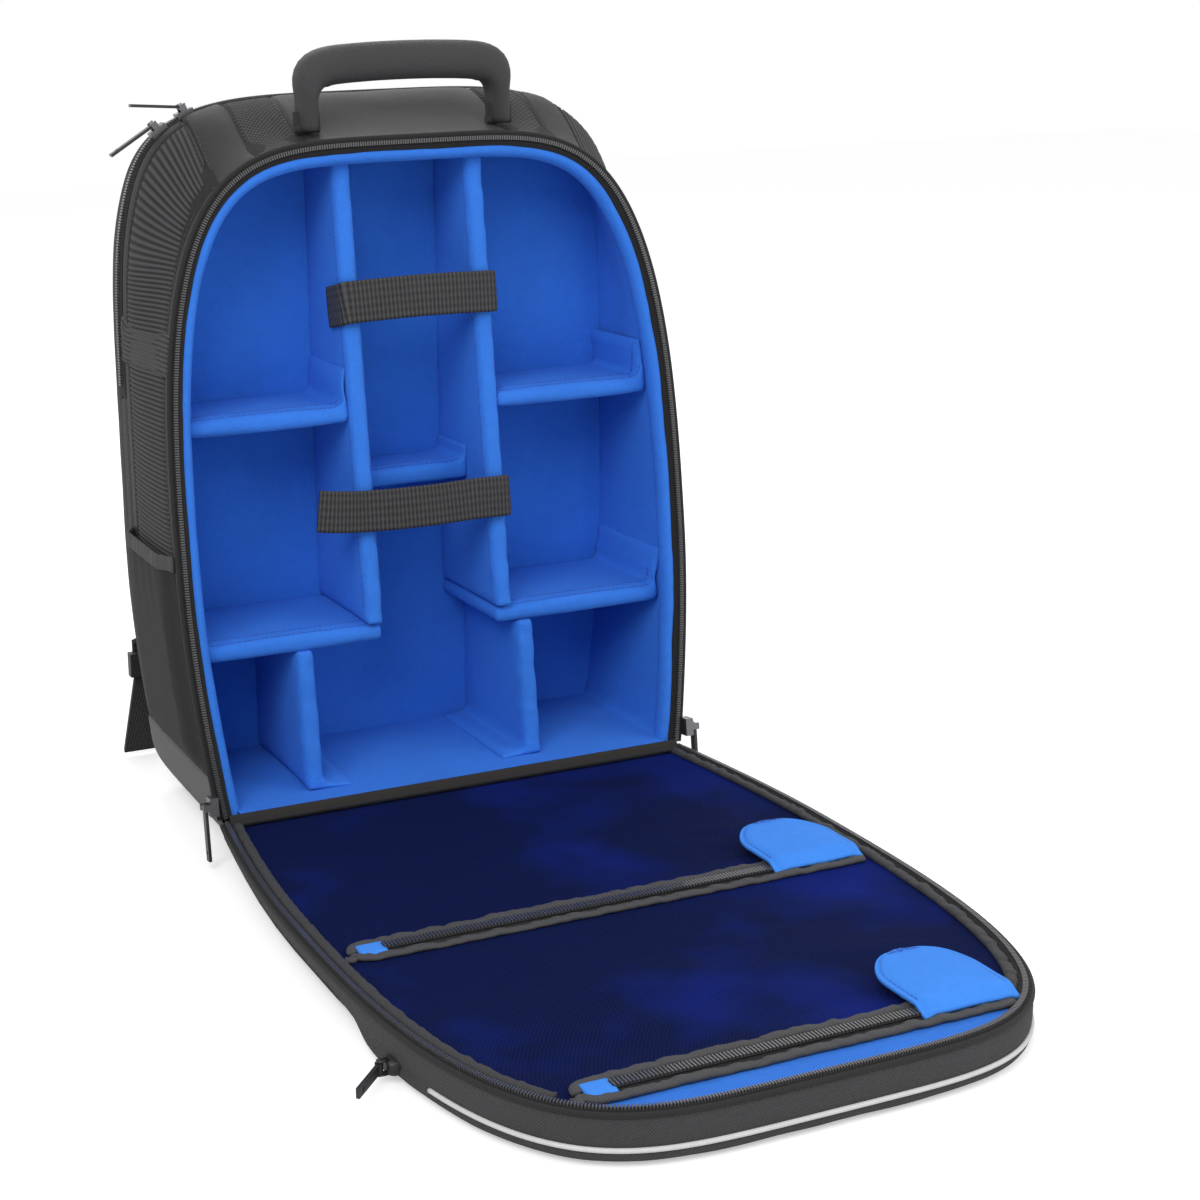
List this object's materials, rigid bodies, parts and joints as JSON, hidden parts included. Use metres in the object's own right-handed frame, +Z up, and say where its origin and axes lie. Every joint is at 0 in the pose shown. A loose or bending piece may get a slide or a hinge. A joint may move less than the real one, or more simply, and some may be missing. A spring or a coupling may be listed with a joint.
{
  "type": "camera backpack",
  "caption": "Camera backpack with a padded divided bay, a fold-down front flap with mesh pockets, a carry handle, side pockets and shoulder straps.",
  "frame": {"origin": "middle of the flat base, where the bag stands on the floor", "axes": "+X to the bag's right as seen from the open front, +Y to the worn back, +Z up"},
  "size_m": [0.3583, 0.5977, 0.4681],
  "materials": {
    "charcoal_cloth": "dense woven nylon",
    "black_cloth": "woven polyester",
    "coated_cloth": "smooth coated cloth",
    "blue_felt": "brushed lining cloth",
    "navy_mesh": "fine knitted mesh",
    "webbing": "ribbed webbing",
    "zip_teeth": "coiled nylon",
    "slider_metal": "dark plated metal",
    "buckle_plastic": "moulded acetal",
    "silver_cord": "silver piping",
    "blue_cord": "bright blue piping",
    "grip_cloth": "padded sleeve"
  },
  "bodies": {
    "body": {"shell": "charcoal_cloth", "base_tub": "coated_cloth", "floor_pad": "blue_felt", "side_panels": "black_cloth", "side_bands": "charcoal_cloth", "shoulder_patches": "charcoal_cloth", "top_panel": "coated_cloth", "rear_gusset": "charcoal_cloth", "side_pockets": "black_cloth", "pocket_bindings": "coated_cloth", "back_panel": "black_cloth", "back_pads": "charcoal_cloth", "strap_wings": "black_cloth", "ladder_locks": "buckle_plastic", "sleeve_wall": "blue_felt", "sleeve_zip": "zip_teeth", "main_zip": "zip_teeth", "zip_sliders": "slider_metal", "base_straps": "webbing", "lining": "blue_felt", "left_upright": "blue_felt", "right_upright": "blue_felt"},
    "flap": {"flap_gusset": "black_cloth", "flap_board": "charcoal_cloth", "flap_lining": "blue_felt", "flap_lower_panel": "charcoal_cloth", "flap_upper_panel": "coated_cloth", "silver_piping": "silver_cord", "blue_piping": "blue_cord", "flap_zip": "zip_teeth", "flap_hinge": "charcoal_cloth", "front_zip": "zip_teeth", "mesh_pockets": "navy_mesh", "mesh_bindings": "coated_cloth", "mesh_zips": "zip_teeth"},
    "handle": {"handle_grip": "grip_cloth", "handle_tabs": "webbing"},
    "left_strap": {"left_shoulder_strap": "charcoal_cloth", "left_strap_webbing": "webbing"},
    "right_strap": {"right_shoulder_strap": "charcoal_cloth", "right_strap_webbing": "webbing"},
    "upper_left_shelf_body": {"upper_left_shelf": "blue_felt"},
    "lower_left_shelf_body": {"lower_left_shelf": "blue_felt"},
    "upper_right_shelf_body": {"upper_right_shelf": "blue_felt"},
    "lower_right_shelf_body": {"lower_right_shelf": "blue_felt"},
    "centre_shelf_body": {"centre_shelf": "blue_felt"},
    "left_post_body": {"left_post": "blue_felt"},
    "right_post_body": {"right_post": "blue_felt"},
    "upper_gear_strap_body": {"upper_gear_strap": "webbing"},
    "lower_gear_strap_body": {"lower_gear_strap": "webbing"},
    "left_main_puller_body": {"left_main_puller": "slider_metal"},
    "right_main_puller_body": {"right_main_puller": "slider_metal"},
    "upper_sleeve_puller_body": {"upper_sleeve_puller": "slider_metal"},
    "lower_sleeve_puller_body": {"lower_sleeve_puller": "slider_metal"},
    "front_puller_body": {"front_puller": "slider_metal"},
    "near_slider_body": {"near_slider": "slider_metal"},
    "far_slider_body": {"far_slider": "slider_metal"},
    "near_zip_cover_body": {"near_zip_cover": "blue_felt"},
    "far_zip_cover_body": {"far_zip_cover": "blue_felt"}
  },
  "joints": [
    {"name": "flap_fold", "type": "hinge", "parent": "body", "child": "flap", "pos_m": [0, -0.075, 0.028], "axis": [-1, 0, 0], "range_deg": [0, 97]},
    {"name": "handle_fold", "type": "hinge", "parent": "body", "child": "handle", "pos_m": [0, -0.01171, 0.42008], "axis": [1, 0, 0], "range_deg": [-40, 40]},
    {"name": "left_strap_swing", "type": "hinge", "parent": "body", "child": "left_strap", "pos_m": [-0.054, 0.087, 0.392], "axis": [1, 0, 0], "range_deg": [0, 10]},
    {"name": "right_strap_swing", "type": "hinge", "parent": "body", "child": "right_strap", "pos_m": [0.054, 0.087, 0.392], "axis": [1, 0, 0], "range_deg": [0, 10]},
    {"name": "upper_left_shelf_pull", "type": "slide", "parent": "body", "child": "upper_left_shelf_body", "axis": [0, 1, 0], "range_m": [-0.07, 0]},
    {"name": "lower_left_shelf_pull", "type": "slide", "parent": "body", "child": "lower_left_shelf_body", "axis": [0, 1, 0], "range_m": [-0.086, 0]},
    {"name": "upper_right_shelf_pull", "type": "slide", "parent": "body", "child": "upper_right_shelf_body", "axis": [0, 1, 0], "range_m": [-0.07, 0]},
    {"name": "lower_right_shelf_pull", "type": "slide", "parent": "body", "child": "lower_right_shelf_body", "axis": [0, 1, 0], "range_m": [-0.086, 0]},
    {"name": "centre_shelf_pull", "type": "slide", "parent": "body", "child": "centre_shelf_body", "axis": [0, 1, 0], "range_m": [-0.027, 0]},
    {"name": "left_post_pull", "type": "slide", "parent": "body", "child": "left_post_body", "axis": [0, 1, 0], "range_m": [-0.092, 0]},
    {"name": "right_post_pull", "type": "slide", "parent": "body", "child": "right_post_body", "axis": [0, 1, 0], "range_m": [-0.092, 0]},
    {"name": "upper_gear_strap_peel", "type": "hinge", "parent": "body", "child": "upper_gear_strap_body", "pos_m": [0.0495, -0.02875, 0.31853], "axis": [0, -0.1219, -0.9925], "range_deg": [-100, 0]},
    {"name": "lower_gear_strap_peel", "type": "hinge", "parent": "body", "child": "lower_gear_strap_body", "pos_m": [0.0495, -0.04398, 0.19446], "axis": [0, -0.1219, -0.9925], "range_deg": [-100, 0]},
    {"name": "left_main_puller_swing", "type": "hinge", "parent": "body", "child": "left_main_puller_body", "pos_m": [-0.16299, -0.07384, 0.03743], "axis": [0, 0.9925, -0.1219], "range_deg": [0, 130]},
    {"name": "right_main_puller_swing", "type": "hinge", "parent": "body", "child": "right_main_puller_body", "pos_m": [0.16299, -0.07384, 0.03743], "axis": [0, -0.9925, 0.1219], "range_deg": [0, 130]},
    {"name": "lower_sleeve_puller_swing", "type": "hinge", "parent": "body", "child": "lower_sleeve_puller_body", "pos_m": [-0.13737, 0.049, 0.42435], "axis": [0, 1, 0], "range_deg": [0, 18]},
    {"name": "upper_sleeve_puller_swing", "type": "hinge", "parent": "body", "child": "upper_sleeve_puller_body", "pos_m": [-0.11927, 0.049, 0.43417], "axis": [0, 1, 0], "range_deg": [-6, 60]},
    {"name": "front_puller_swing", "type": "hinge", "parent": "flap", "child": "front_puller_body", "pos_m": [-0.167, -0.34648, 0.008], "axis": [0, 0, -1], "range_deg": [-40, 80]},
    {"name": "near_slider_run", "type": "slide", "parent": "flap", "child": "near_slider_body", "axis": [-1, 0, 0], "range_m": [0, 0.256]},
    {"name": "far_slider_run", "type": "slide", "parent": "flap", "child": "far_slider_body", "axis": [-1, 0, 0], "range_m": [0, 0.18]},
    {"name": "near_zip_cover_lift", "type": "hinge", "parent": "flap", "child": "near_zip_cover_body", "pos_m": [0.123, -0.271, 0.0247], "axis": [-1, 0, 0], "range_deg": [-85, 0]},
    {"name": "far_zip_cover_lift", "type": "hinge", "parent": "flap", "child": "far_zip_cover_body", "pos_m": [0.091, -0.438, 0.0247], "axis": [-1, 0, 0], "range_deg": [-85, 0]}
  ]
}
